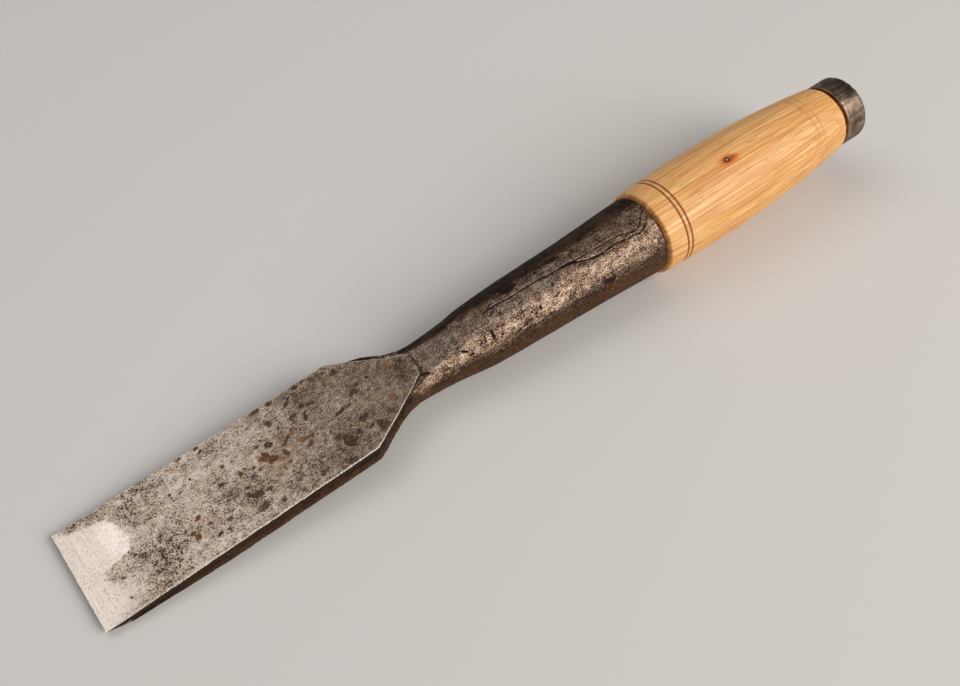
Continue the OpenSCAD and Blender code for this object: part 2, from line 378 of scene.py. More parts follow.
# Dark, finely pitted clouds on the flat face
MURK = (
    (31, -13, 17, 20, 30, 0.9), (33, -5, 16, 7, 0, 0.6), (27, 13, 12, 12, 0, 0.55),
    (13, 23.6, 18, 3.6, 0, 0.95), (33, 20.5, 14, 6, 0, 0.7), (24, 24, 26, 3, 0, 0.6),
    (16, -7.5, 14, 8, 0, 0.12), (54, -18, 9, 7, 0, 0.6), (68, 20, 8, 8, 0, 0.5), (63, -4, 12, 12, 0, 0.45),
    (74, -10, 18, 16, 0, 0.5), (30, -22.5, 22, 4, 0, 0.7), (10, -23.8, 16, 2.4, 0, 0.5),
    (92, 19, 9, 9, 0, 0.4), (116, 20, 22, 9, 0, 0.6), (116, -14, 26, 16, 0, 0.5),
    (149, -1, 12, 22, 0, 0.7), (97, -17, 22, 12, 0, 0.45), (104, 8, 20, 12, 0, 0.35),
    (137, 14, 18, 8, -30, 0.4), (37, 8, 14, 10, 0, 0.35),
)
# Paler, cleaner patches
CLEAN = (
    (19, 8, 10, 19, 0, 1), (95, 21, 9, 7, 20, 0.8), (86, 16, 16, 10, 0, 0.6), (60, 13, 24, 12, 0, 0.6),
    (41, -18, 14, 8, 0, 0.8), (55, -21, 30, 4, 0, 0.6), (109.5, -7, 5, 4, 0, 0.8), (80, 3, 8, 7, 0, 0.5),
    (134.6, -4.2, 7, 7, 0, 0.45), (98, 14, 3, 16, 0, 0.6), (45, 3, 26, 9, 0, 0.4), (62, 23, 40, 3, 0, 0.3),
)


# ---------------------------------------------------------------- laid steel

def tip_line(y):
    """The ragged weld line where the steel's tip ends, further back on the left."""
    ragged = 0.6 * cloud(np.stack((y, y * 0, y * 0), -1), 2.2, 21, 3)
    return TIP_X - 0.1 + 1.1 * ease(-3, 6, y) - 0.9 * ease(3, 6, -y) + ragged


def steel_piece(material):
    """The hard steel face: flat on top, bevelled under the edge, scarfed at its tip."""
    xs = knots(0.0, (0.6, 0.2), (2.0, 0.35), (TIP_X - 1, 0.45), (TIP_X, 0.3))
    inner = np.linspace(-1, 1, 115)
    rim = np.array((0.12, 0.3))
    top = np.concatenate(([-1.0], inner[:1] + rim / 25, inner[1:-1], inner[-1:] - rim[::-1] / 25, [1.0]))
    sides = 5
    under = np.linspace(1, -1, 24)[1:-1]
    drop = np.linspace(0, 1, sides + 2)[1:]
    across = np.concatenate((top, np.ones(sides + 1), under, -np.ones(sides + 1)))
    down = np.concatenate((np.zeros(len(top)), drop, np.ones(len(under)), drop[::-1]))
    left, right = half_width(xs, 1), half_width(xs, -1)
    y = np.where(across > 0, across * left[:, None], across * right[:, None])
    x = np.repeat(xs[:, None], len(across), 1)
    x = x + (tip_line(y) - TIP_X) * ease(TIP_X - 12, TIP_X, x)
    bottom = steel_bottom(xs)[:, None]
    flat = np.stack((x, y, np.zeros_like(x)), -1)
    warp = cloud(flat, (1.7, 1.7, 1), 31, 3)
    fields = steel_marks(x, y, flat, warp)
    rim_gap = np.minimum(left[:, None] - y, y + right[:, None])
    rounding = 0.16 * (1 - ease(0.0, 0.35, rim_gap))
    # Small nicks along both arrises
    nick = np.maximum(noise(flat, (1.3, 50, 1), 41) - 0.35, 0) * (1 - ease(0.0, 0.8, rim_gap))
    end_round = 0.2 * ease(TIP_X - 0.8, TIP_X + 0.4, x)
    dish = 0.05 * cloud(flat, (30, 24, 1), 51, 2) + 0.02 * cloud(flat, (5, 5, 1), 52, 2)
    lapped = fields["lap"]
    sink = fields.pop("sink")
    skin = -rounding - nick * 0.35 - end_round - sink + dish * (1 - lapped) * ease(0, 4, x)
    thin = ease(0.0, 3.0, -bottom)
    z = np.where(down[None, :] == 0, skin * thin, bottom * down[None, :])
    z = np.where((down[None, :] > 0) & (down[None, :] < 1), np.minimum(z, -0.2 * thin + bottom * 0.06), z)
    rings = np.stack((x, y, z), -1)
    fields["side"] = np.repeat(np.clip(down[None, :] * 4, 0, 1), len(xs), 0)
    fields["bevel"] = (down[None, :] == 1) * (1 - ease(STEEL_T * 2.2, STEEL_T * 2.5, x))
    fields["side"] = fields["side"] * (1 - fields["bevel"])
    fields["arris"] = (1 - ease(0.1, 0.55, rim_gap)) * (down[None, :] == 0)
    return lofted(
        "laid_steel_face", rings, rings.copy(), fields, "blade", "steel_face", "laid_steel", material
    )


def steel_marks(x, y, flat, warp):
    """Stains, pits and bright areas of the flat face, and how far they sink into it."""
    reach = np.interp(y, LAP_Y, LAP_X) + 1.3 * warp + 1.6 * cloud(flat, (0.8, 0.8, 1), 33, 2)
    soft = 1.3 + 6.5 * ease(-7, -14, y) + 2.5 * ease(17, 21, y)
    lap = 1 - ease(-soft, soft, x - reach)
    blotch = spots(x, y, warp, BLOTCHES)
    rust = spots(x, y, warp, RUST)
    scratch = 1 - ease(0.1, 0.35, line_gap(x, y, SCRATCH))
    murk = spots(x, y, 1.6 * cloud(flat, (6, 6, 1), 35, 4), MURK, 0.8)
    clean = spots(x, y, 1.6 * cloud(flat, (5, 5, 1), 36, 4), CLEAN, 0.8)
    area = ((2.0, TIP_X), (-25.0, 25.0))
    fine = pits(x, y, 61, 1500, area, (0.35, 0.8), (0.04, 0.12))
    coarse = pits(x, y, 62, 170, area, (0.7, 1.7), (0.06, 0.16))
    pitted = (1 - 0.96 * lap) * np.clip(0.35 + murk - 0.5 * clean, 0.08, 1)
    sink = fine * pitted + coarse * pitted * 0.7 + 0.07 * blotch + 0.04 * rust
    sink = sink + 0.02 * scratch
    return {
        "lap": lap,
        "blotch": blotch,
        "rust": rust,
        "murk": murk,
        "clean": np.clip(clean + scratch * 0.8, 0, 1),
        "pit": np.clip((fine + coarse) * pitted / 0.12, 0, 1),
        "sink": sink,
    }


# ---------------------------------------------------------------- iron forging

# The open forge-weld seam along the top of the socket, and the thin lap beside it: x, angle
SEAM = (
    (176, 10), (183, 9), (190, 8.5), (195, 7.5), (200, 9), (205, 11), (210, 11.5), (216, 10),
    (221, 12), (226, 14), (232, 15), (236, 15), (239, 19), (243, 24), (247, 28), (252, 30),
    (258, 27.5), (263, 29.5), (268, 31.5), (273, 33), (276, 31), (279, 24), (281.5, 18), (283, 17),
)
LAP_LINE = (
    (237, 16), (246, 18), (254, 18), (262, 20), (266, 22), (270, 27), (274, 26), (277, 19),
    (279.5, 11), (281, 9),
)
# Dents and dark chisel-like dashes on the socket: x, angle, length, width, turn, depth
DASHES = (
    (189, 49, 1.2, 4.5, 0, 0.3), (185, 47, 1, 3.5, 10, 0.25), (175, 48, 3, 1.2, 40, 0.25),
    (183, 47, 1, 2.6, 0, 0.2), (177, 59, 2.4, 1.6, 0, 0.2), (193.5, 17, 3.4, 1.1, -40, 0.2),
    (197, 23, 3, 1.1, -40, 0.22), (201, 64, 2.6, 0.9, -30, 0.3), (204.5, 61, 2.4, 0.9, -30, 0.3),
    (208, 58, 3, 0.9, -30, 0.28), (211, 54, 2, 0.8, -40, 0.2), (224, 30, 1.2, 3.0, 15, 0.2),
    (228, 25, 1, 2.4, 0, 0.2), (250, 71, 6.5, 2, 0, 0.3), (217, 67, 2.0, 1.4, 0, 0.16),
    (224, 46, 3.6, 1.2, -30, 0.14), (222, 57, 2.8, 1.2, -30, 0.14), (193, 55, 1.4, 2, 0, 0.2),
    (163, 58, 7, 3, 20, 0.12), (214, 50, 1.2, 2.4, 0, 0.2), (229, 81, 3, 2, 0, 0.2),
)
# Brown-black patches of scale above the seam
SCALE = (
    (207, -4, 8, 3, 0, 0.9), (231, -5, 8, 2.4, 0, 0.9), (182, -10, 6, 3, 0, 0.6), (218, -12, 5, 4, 0, 0.6),
)
# The neck's left flank stands out past the flat face: its half-width and upper height along x
FLANK_X = (122, 130, 140, 145, 150, 155, 160, 165, 170, 180)
FLANK_WIDE = (20, 23, 20.8, 18.4, 16.3, 14.9, 14.3, 14.1, 14.0, 14.1)
FLANK_HIGH = (4, 5, 8.8, 8.0, 7.4, 7.8, 8.6, 9.8, 10.9, 13.2)


def shell_radius(x):
    """Radius of the neck and socket where they are round."""
    return MOUTH_R - (MOUTH_X - x) * CONE_RISE + 0.45 * bump(x, 200, 26)


def iron_section(x, angle, left, right):
    """Distance from the centre line to the forging's skin at each x and angle."""
    cz, cy = centre_line(x)
    dy, dz = -np.sin(angle), np.cos(angle)
    # The blade: a box under the laid steel
    top = roof(x)
    with np.errstate(divide="ignore", invalid="ignore"):
        side_hit = np.where(dy > 0, (left - cy) / dy, (-right - cy) / dy)
        flat_hit = np.where(dz > 0, (top - cz) / dz, (underside(x) - cz) / dz)
    box_r = np.minimum(np.nan_to_num(np.abs(side_hit), nan=1e3), np.nan_to_num(np.abs(flat_hit), nan=1e3))
    box_r = box_r * (1 - ease(TIP_X - 3, TIP_X + 3, x))
    # The neck, opening into the socket
    nose = np.sqrt(np.clip(1 - (np.clip(150 - x, 0, None) / 34) ** 2, 0, 1))
    oval = (NECK_R + (shell_radius(x) - NECK_R) * ease(NECK_X, CONE_X, x)) * nose
    merge = ease(172, 184, x)
    flank = np.interp(x, FLANK_X, FLANK_WIDE) * ease(116, 130, x)
    wide = np.where(dy > 0, flank * (1 - merge) + oval * merge, oval)
    crown = np.interp(x, FLANK_X, FLANK_HIGH) + np.where(dy > 0, 0.0, 1.3)
    high = np.where(dz > 0, crown * (1 - merge) + oval * merge, oval)
    oval = 1 / np.sqrt((dy / np.maximum(wide, 0.5)) ** 2 + (dz / np.maximum(high, 0.5)) ** 2)
    fill = 1.0 + 4.5 * ease(116, 140, x) * np.abs(dy) * ease(-0.9, 0.1, dz) + 2.2 * ease(112, 130, x)
    r = np.where(x < 114, box_r, soft_max(box_r, oval, fill))
    # The flat face carries on over the neck and climbs until the socket outgrows it
    cut = np.where(dz > 0.05, (top - cz) / np.maximum(dz, 0.05), 1e3)
    return np.where(x < 114, np.minimum(r, cut), soft_min(r, cut, 0.5))


def roof(x):
    """Highest level that the iron reaches: under the steel, then over the neck."""
    under = steel_bottom(x) - 0.02
    beside = ease(124.0, 140.0, x)
    flush = under * (1 - beside) - 0.25 * beside
    return np.where(x < TIP_X, flush, -0.05 + np.maximum(x - TIP_X, 0) * 0.25)


def centre_line(x):
    """Height and sideways place of the line that sections are drawn round."""
    middle = (steel_bottom(x) + underside(x)) / 2
    m = ease(60, 110, x)
    return middle * (1 - m) + shell_z(x) * m, MOUTH[1] * ease(110, 160, x) - 0.5 * bump(x, 158, 14)


def iron_angles(xs, left, right, count):
    """Angles of the points in each ring: at the corners of the blade's box, then evenly round."""
    even = np.linspace(-180, 180, count, endpoint=False)
    out = np.empty((len(xs), count))
    corner = 62.0
    for i, x in enumerate(xs):
        cz, cy = centre_line(np.array(x))
        up, down = roof(np.array(x)) - cz, underside(np.array(x)) - cz
        a_right = math.degrees(math.atan2(right[i] + cy, up))
        b_right = math.degrees(math.atan2(right[i] + cy, down))
        a_left = math.degrees(math.atan2(left[i] - cy, up))
        b_left = math.degrees(math.atan2(left[i] - cy, down))
        flat_top = np.degrees(np.arctan2(np.linspace(-(left[i] - cy), right[i] + cy, 41), up))
        flat_low = np.degrees(np.arctan2(np.linspace(-(left[i] - cy), right[i] + cy, 41), down))
        boxed = np.interp(even, np.linspace(-corner, corner, 41), flat_top)
        low = np.linspace(-(180 - corner), 180 - corner, 41)
        turned = np.mod(even + 360, 360) - 180
        beneath = np.interp(turned, low, np.unwrap(np.radians(flat_low[::-1])) * 180 / math.pi)
        beneath = np.mod(beneath + 180, 360) - 180
        side_r = np.interp(even, (corner, 180 - corner), (a_right, b_right))
        side_l = -np.interp(-even, (corner, 180 - corner), (a_left, b_left))
        boxed = np.where(even > corner, side_r, boxed)
        boxed = np.where(even < -corner, side_l, boxed)
        boxed = np.where(np.abs(even) > 180 - corner, beneath, boxed)
        m = ease(118, 150, x)
        out[i] = boxed * (1 - m) + even * m
    return np.radians(out)


def iron_piece(material):
    """The forging: the back of the blade, the neck, and the hollow socket."""
    heel = STEEL_T * HEEL_X / HEEL_T + 0.15
    xs = knots(heel, (HEEL_X, 0.6), (114, 1.1), (282.0, 0.5))
    count = 230
    left = half_width(xs, 1) - 0.06 + 0.3 * ease(124, 142, xs)
    right = half_width(xs, -1) - 0.06 + 0.4 * ease(135, 150, xs)
    angle = iron_angles(xs, left, right, count)
    x = np.repeat(xs[:, None], count, 1)
    r = iron_section(x, angle, left[:, None], right[:, None])
    cz, cy = centre_line(x)
    skin = np.stack((x, cy - r * np.sin(angle), cz + r * np.cos(angle)), -1)
    degrees = np.degrees(angle)
    fields, lift = iron_marks(skin, degrees, r)
    skin = skin + surface_normals(skin) * lift[..., None]
    skin = pocket(skin)
    rings, fields = add_bore(skin, degrees, fields)
    return lofted(
        "socket_forging", rings, rings.copy(), fields, "blade", "blade_socket", "wrought_iron", material
    )


def pocket(skin):
    """Sinks the iron under the laid steel, so that the steel lies in it."""
    x, y, z = skin[..., 0], skin[..., 1], skin[..., 2]
    inside = (y < half_width(x, 1) - 0.02) & (y > -half_width(x, -1) + 0.02) & (x < TIP_X + 0.5)
    level = steel_bottom(np.minimum(x, TIP_X)) - 0.03
    skin[..., 2] = np.where(inside & (z > level), level, z)
    return skin


def iron_marks(skin, degrees, r):
    """Forging marks: masks for the material, and how far each point stands proud."""
    x = skin[..., 0]
    arc = np.radians(degrees) * np.maximum(r, 1)
    warp = cloud(skin, 2.4, 71, 3)
    socket = ease(150, 164, x)
    mm = 17 * math.pi / 180
    seam = scaled_gap(x, degrees, SEAM, mm)
    lap = scaled_gap(x, degrees, LAP_LINE, mm)
    ragged = 0.22 * warp
    wide = 0.22 + 0.34 * bump(x, 236, 4) + 0.1 * bump(x, 254, 8)
    crack = np.exp(-((seam + ragged) / wide) ** 2) * ease(170, 196, x) * (1 - 0.45 * ease(272, 279, x))
    thin = 0.6 * np.exp(-((lap + ragged) / 0.34) ** 2)
    dashes = spots(x, degrees * mm, 0.7 * warp, [(a, b * mm, c, d, e, f) for a, b, c, d, e, f in DASHES])
    scale = spots(x, degrees * mm, warp, [(a, b * mm, c, d, e, f) for a, b, c, d, e, f in SCALE])
    area = ((158.0, 282.0), (-55.0, 55.0))
    sunk = pits(x, arc, 81, 3600, area, (0.4, 0.85), (0.05, 0.16))
    sunk = sunk + pits(x, arc, 82, 160, area, (0.8, 1.7), (0.04, 0.1))
    sunk = sunk * socket
    # A dark hollow where the right side of the steel's tip meets the neck
    along, over = (x - 156.2 - skin[..., 1] - 7.5) * 0.7, (x - 156.2 + skin[..., 1] + 7.5) * 0.7
    notch = (1 - ease(0.6, 1.2, np.hypot(along / 2.1, over / 1.0) + 0.35 * warp)) * (skin[..., 2] > -6)
    # The line of the weld at the tip
    tip_gap = (x - tip_line(skin[..., 1]) - 0.2) / 0.32
    weld = np.exp(-(tip_gap ** 2)) * (skin[..., 2] > -1.6) * (np.abs(skin[..., 1]) < 9)
    # The welded edge of the socket laps over its neighbour, so one side stands a little higher
    seam_angle = np.interp(x, [p[0] for p in SEAM], [p[1] for p in SEAM])
    offset = (degrees - seam_angle) * mm
    step = 0.1 * ease(-0.3, 0.3, -offset) * (1 - ease(2, 9, -offset)) * ease(175, 200, x)
    hammered = 0.2 * cloud(skin, (18, 11, 11), 91, 2) + 0.09 * cloud(skin, 4.5, 93, 3)
    drawn = 0.06 * cloud(skin, (14, 1.6, 1.6), 95, 2)
    bevel = (1 - ease(HEEL_X - 0.6, HEEL_X + 0.2, x)) * (skin[..., 2] < -STEEL_T - 0.1)
    under_steel = (x < TIP_X) & (skin[..., 2] > steel_bottom(x) - 0.4) & (x < 146)
    body = 0.35 + 0.65 * socket
    lift = (hammered + drawn) * body * (1 - bevel) - sunk - 0.55 * crack - 0.3 * thin
    lift = lift - 0.6 * dashes + step - 0.4 * notch - 0.25 * weld
    lift = np.where(under_steel, 0.0, lift)
    calm = ease(277, 282, x)
    lift = lift * (1 - 0.75 * calm)
    # Nothing may stand below the surface that the tool lies on
    side_on = 1 - ease(95, 135, np.abs(degrees)) * 0.9
    lift = np.where(np.abs(degrees) > 120, np.minimum(lift, 0.05), lift) * (0.35 + 0.65 * side_on)
    # Painted shade and light by which way the surface faces: the upper and right-hand sides are lighter,
    # partly from rubbed wear, and the rest is dark scale with painted shade on the upper-left side
    leaning = surface_normals(skin)
    left_lean, up_lean = leaning[..., 1] + 0.09 * warp, leaning[..., 2] + 0.1 * warp
    # The flat over the neck and the band beside the seam look cooler, and one band gets a painted highlight
    # where the key light's reflection falls
    facet = (1 - ease(0.25, 0.8, np.abs(skin[..., 2] - roof(x)))) * (x > TIP_X + 0.2) * (skin[..., 2] > -3)
    beside = bump(degrees, 18 + 6 * warp, 14) * ease(168, 185, x) * (1 - ease(222, 246, x))
    cool = np.clip(np.maximum(facet, beside), 0, 1)
    highlight_angle = np.interp(x, (160, 205, 225, 250, 280), (56, 53, 50, 46, 40))
    patchy = 0.6 + 0.8 * cloud(skin, (16, 5, 5), 97, 3)
    painted_highlight = np.clip(bump(degrees, highlight_angle + 5 * warp, 13) * patchy * ease(152, 162, x), 0, 1)
    rub = (1 - ease(-0.04, 0.32, left_lean)) * ease(-0.05, 0.5, up_lean) * ease(138, 152, x)
    fields = {
        "crack": np.clip(crack + thin + 0.42 * notch + 0.5 * weld, 0, 1),
        "cool": cool,
        "painted_highlight": painted_highlight,
        "dash": np.clip(dashes * 4.5 + scale, 0, 1),
        "pit": np.clip(sunk / 0.2, 0, 1),
        "rub": rub,
        "bevel": bevel,
        "bore": np.zeros_like(x),
    }
    return fields, lift


def scaled_gap(x, degrees, route, mm):
    """Distance in millimetres to a route that is given by x and angle, with its corners cut off."""
    path = np.array([(a, b * mm) for a, b in route])
    for _ in range(2):
        early, late = 0.75 * path[:-1] + 0.25 * path[1:], 0.25 * path[:-1] + 0.75 * path[1:]
        path = np.concatenate((path[:1], np.stack((early, late), 1).reshape(-1, 2), path[-1:]))
    return line_gap(x, degrees * mm, path)


def add_bore(skin, degrees, fields):
    """Rounds the socket's mouth and carries the rings down inside it."""
    angle = np.radians(degrees[-1])
    last = skin[-1]
    out_r = np.hypot(last[:, 1] - MOUTH[1], last[:, 2] - MOUTH[2])
    lip = ((MOUTH_X - 0.15, -0.2), (MOUTH_X, -0.6))
    rings = [round_points(station, out_r + inset, angle) for station, inset in lip]
    stations = np.concatenate(([MOUTH_X, MOUTH_X - 0.3], np.linspace(MOUTH_X - 2, MOUTH_X - BORE_DEPTH, 30)))
    radii = BORE_R - (MOUTH_X - stations) * BORE_TAPER
    radii[0] += 0.5
    rings += [round_points(station, radius, angle) for station, radius in zip(stations, radii)]
    tip = rings[-1].copy()
    tip[:, 0] -= 3.5
    tip[:, 1:] *= 0.15
    rings.append(tip)
    inner = from_axis(np.stack(rings))
    grown = len(inner)
    out = {}
    for key, field in fields.items():
        tail = np.repeat(field[-1:] * 0, grown, 0)
        if key == "bore":
            tail = np.ones_like(tail)
            tail[:2] = 0
            tail[2:4] = 0.5
        if key == "rub":
            tail[:2] = field[-1]
        out[key] = np.concatenate((field, tail))
    return np.concatenate((skin, inner)), out


# ---------------------------------------------------------------- wooden handle

def grip_radius(s):
    front = (GRIP_R - FRONT_R) * ((GRIP_X - s) / (GRIP_X - WOOD_X)) ** 2
    rear = (GRIP_R - REAR_R) * ((s - GRIP_X) / (REAR_X - GRIP_X)) ** 2
    return GRIP_R - np.where(s < GRIP_X, front, rear)


def handle_profile():
    """Stations and radii of the turned handle, from the tenon's end to the struck face."""
    tenon = BORE_R - CLEARANCE
    start = MOUTH_X - TENON_LEN
    points = [(start, 0.6 * (tenon - TENON_LEN * BORE_TAPER))]
    points += [(start, tenon - TENON_LEN * BORE_TAPER - 1), (start + 1, tenon - (TENON_LEN - 1) * BORE_TAPER)]
    points += [(s, tenon - (MOUTH_X - s) * BORE_TAPER) for s in np.linspace(start + 3, MOUTH_X, 30)]
    points += [(MOUTH_X + 0.15, tenon), (MOUTH_X + 0.3, tenon + 0.3), (MOUTH_X + 0.35, 17.9)]
    points += [(MOUTH_X + 0.4, 18.7), (MOUTH_X + 0.6, 19.3), (MOUTH_X + 0.9, 19.9), (MOUTH_X + 1.25, 20.5)]
    points += [(MOUTH_X + 1.45, FRONT_R - 0.12), (WOOD_X + 0.4, FRONT_R - 0.01)]
    grip = knots(WOOD_X + 1.0, (292.2, 0.6), (297.2, 0.12), (REAR_X - 2, 0.75), (REAR_X, 0.4))
    for s in grip:
        r = float(grip_radius(np.array(s)))
        for groove in GROOVES:
            r -= 0.34 * math.exp(-(((s - groove) / 0.5) ** 2))
        points.append((s, r))
    for i in range(1, 9):
        a = math.pi / 2 * i / 8
        points.append((
            REAR_X + (REAR_END - REAR_X) * math.sin(a),
            REAR_R + (SEAT_R + 1.2 - REAR_R) * (1 - math.cos(a)),
        ))
    points += [(REAR_END, SEAT_R + 0.3), (REAR_END + 0.1, SEAT_R - 0.02), (HOOP_X, SEAT_R - 0.02)]
    points += [(s, SEAT_R - 0.02) for s in np.linspace(HOOP_X + 2, END_X - 0.7, 5)]
    points += [(END_X - 0.3, SEAT_R - 0.1), (END_X - 0.12, SEAT_R - 0.4)]
    points += [(END_X - 0.12 + 0.1 * (1 - (r / SEAT_R) ** 2), r) for r in np.linspace(SEAT_R - 1, 0.5, 20)]
    return np.array(points)


def wood_piece(material):
    s, r, angle, plain = revolve(handle_profile(), 210)
    warp = cloud(plain, 3.0, 101, 3)
    grip = ease(WOOD_X + 0.5, WOOD_X + 3, s) * (1 - ease(REAR_X, REAR_END, s))
    end_face = ease(END_X - 0.5, END_X - 0.2, s)
    uneven = 0.07 * cloud(plain, (26, 12, 12), 103, 2) * grip
    streaks = noise(plain, (7, 0.8, 0.8), 115)
    worn = 0.17 * (bump(s, WORN_FRONT, 1.0) + bump(s, WORN_REAR, 0.8)) * (0.6 + 0.5 * warp)
    worn = worn + 0.12 * bump(s, 401, 1.4)
    dents = pits(s, angle * 21, 105, 30, ((300, 400), (-60, 60)), (0.5, 1.3), (0.04, 0.12))
    shoulder = bump(s, WOOD_X + 0.4, 0.9) * (0.16 * warp + 0.1 * noise(plain, 0.9, 107))
    rear = bump(s, REAR_END - 1, 2.0) * 0.22 * cloud(plain, 3.5, 109, 3)
    knot = math.radians(15)
    knot_gap = np.hypot((s - 330.6) / 1.5, (angle - knot) * 22 / 1.2)
    knot_ring = 0.1 * bump(knot_gap, 1.0, 0.45) - 0.06 * bump(knot_gap, 0.0, 0.6)
    tear = noise(plain, (9, 0.9, 0.9), 111)
    pores = 0.035 * np.minimum(tear + 0.35, 0) * grip
    lift = uneven - worn - dents * grip + np.minimum(shoulder, 0.1) + rear - knot_ring + pores
    lift = lift - end_face * 0.08 * np.abs(cloud(plain, 1.6, 113, 3))
    inside = (s < MOUTH_X + 0.6) | ((s > REAR_END) & (s < END_X - 0.35))
    lift = np.where(inside, 0.0, lift)
    skin = plain + surface_normals(plain) * lift[..., None]
    groove = sum(bump(s, g, 0.68) for g in GROOVES)
    mouth_stain = (1 - ease(20.1, 20.9, r)) * (s < 285) * (0.8 + 0.6 * warp)
    # Painted shade darkens the narrow groove between the handle's rounded end and the hoop
    rear_groove_shade = ease(REAR_END - 0.7, REAR_END, s) * (1 - end_face)
    stain_and_groove_shade = mouth_stain + rear_groove_shade + 0.4 * bump(s, 401, 0.8)
    knot_reach = np.hypot((s - 331.6) / 7.5, (angle - knot) * 22 / 4.4)
    worn_rings = bump(s, WORN_FRONT, 0.9) + 0.8 * bump(s, WORN_REAR, 0.7)
    fields = {
        "burn": np.clip(groove, 0, 1) * (r > 18),
        "stain_and_groove_shade": np.clip(stain_and_groove_shade, 0, 1),
        "end": end_face,
        "knot": np.clip(1.05 - knot_reach ** 0.8 + 0.3 * streaks, 0, 1),
        "worn": np.clip(worn_rings * ease(-0.6, 0.4, warp), 0, 1),
        "knot_core": np.exp(-(knot_gap ** 2)),
    }
    return lofted(
        "turned_handle", from_axis(skin), plain, fields, "handle", "handle", "ash_wood", material
    )


# ---------------------------------------------------------------- striking hoop

def hoop_piece(material):
    wall = [(HOOP_X + 0.1, SEAT_R + 0.15), (HOOP_X, SEAT_R + 0.6), (HOOP_X, HOOP_R - 0.55)]
    front = [(HOOP_X + 0.06, HOOP_R - 0.32), (HOOP_X + 0.22, HOOP_R - 0.1), (HOOP_X + 0.5, HOOP_R)]
    outer = [(s, HOOP_R) for s in knots(HOOP_X + 0.8, (END_X - 1.5, 0.45))]
    back = [
        (END_X - 1.4 + 1.4 * math.sin(a), HOOP_R - 1.4 * (1 - math.cos(a)))
        for a in np.radians(np.linspace(8, 88, 9))
    ]
    inner = [(END_X, SEAT_R + 0.35), (END_X - 0.2, SEAT_R + 0.08), (END_X - 1, SEAT_R)]
    inner += [(s, SEAT_R) for s in np.linspace(END_X - 3, HOOP_X + 0.6, 6)]
    profile = np.array(wall + front + outer + back + inner)
    s, r, angle, plain = revolve(profile, 240)
    outside = ease(SEAT_R + 0.6, HOOP_R - 0.8, r)
    arc = angle * HOOP_R
    area = ((HOOP_X, END_X), (-52, 52))
    dents = pits(s, arc, 121, 60, area, (0.4, 1.3), (0.03, 0.12))
    nicks = pits(s, arc, 122, 22, ((END_X - 2, END_X), (-52, 52)), (0.6, 1.6), (0.1, 0.25))
    uneven = 0.07 * cloud(plain, 7, 123, 3)
    scratch = 1 - ease(0.1, 0.45, line_gap(s, np.degrees(angle) * 0.29, ((407, 10 * 0.29), (418, 8 * 0.29))))
    lift = (uneven - dents - nicks - 0.1 * scratch) * outside
    lift = np.minimum(lift, 0.04)
    skin = plain + surface_normals(plain) * lift[..., None]
    fields = {
        "arris": np.clip(bump(s, HOOP_X + 0.3, 0.35) + 0.6 * bump(s, END_X - 0.9, 0.6), 0, 1) * outside,
        "pit": np.clip((dents + nicks) / 0.12 + scratch, 0, 1) * outside,
        "inner": 1 - ease(SEAT_R, SEAT_R + 0.5, r),
    }
    return ring_piece(
        "striking_hoop", from_axis(skin), plain, fields, "handle", "hoop", "hoop_steel", material
    )


def ring_piece(name, rings, places, fields, *rest):
    """A lofted piece whose last ring meets its first, so that it stays open through the middle."""
    piece = lofted(name, rings, places, fields, *rest)
    mesh = piece.data
    bm = bmesh.new()
    bm.from_mesh(mesh)
    bm.verts.ensure_lookup_table()
    count, round_n = rings.shape[:2]
    hubs = [bm.verts[count * round_n], bm.verts[count * round_n + 1]]
    bmesh.ops.delete(bm, geom=hubs, context="VERTS")
    bm.verts.ensure_lookup_table()
    last = (count - 1) * round_n
    for j in range(round_n):
        k = (j + 1) % round_n
        face = bm.faces.new([bm.verts[i] for i in (last + j, last + k, k, j)])
        face.smooth = True
    bmesh.ops.recalc_face_normals(bm, faces=bm.faces[:])
    bm.to_mesh(mesh)
    bm.free()
    return piece


# ---------------------------------------------------------------- materials

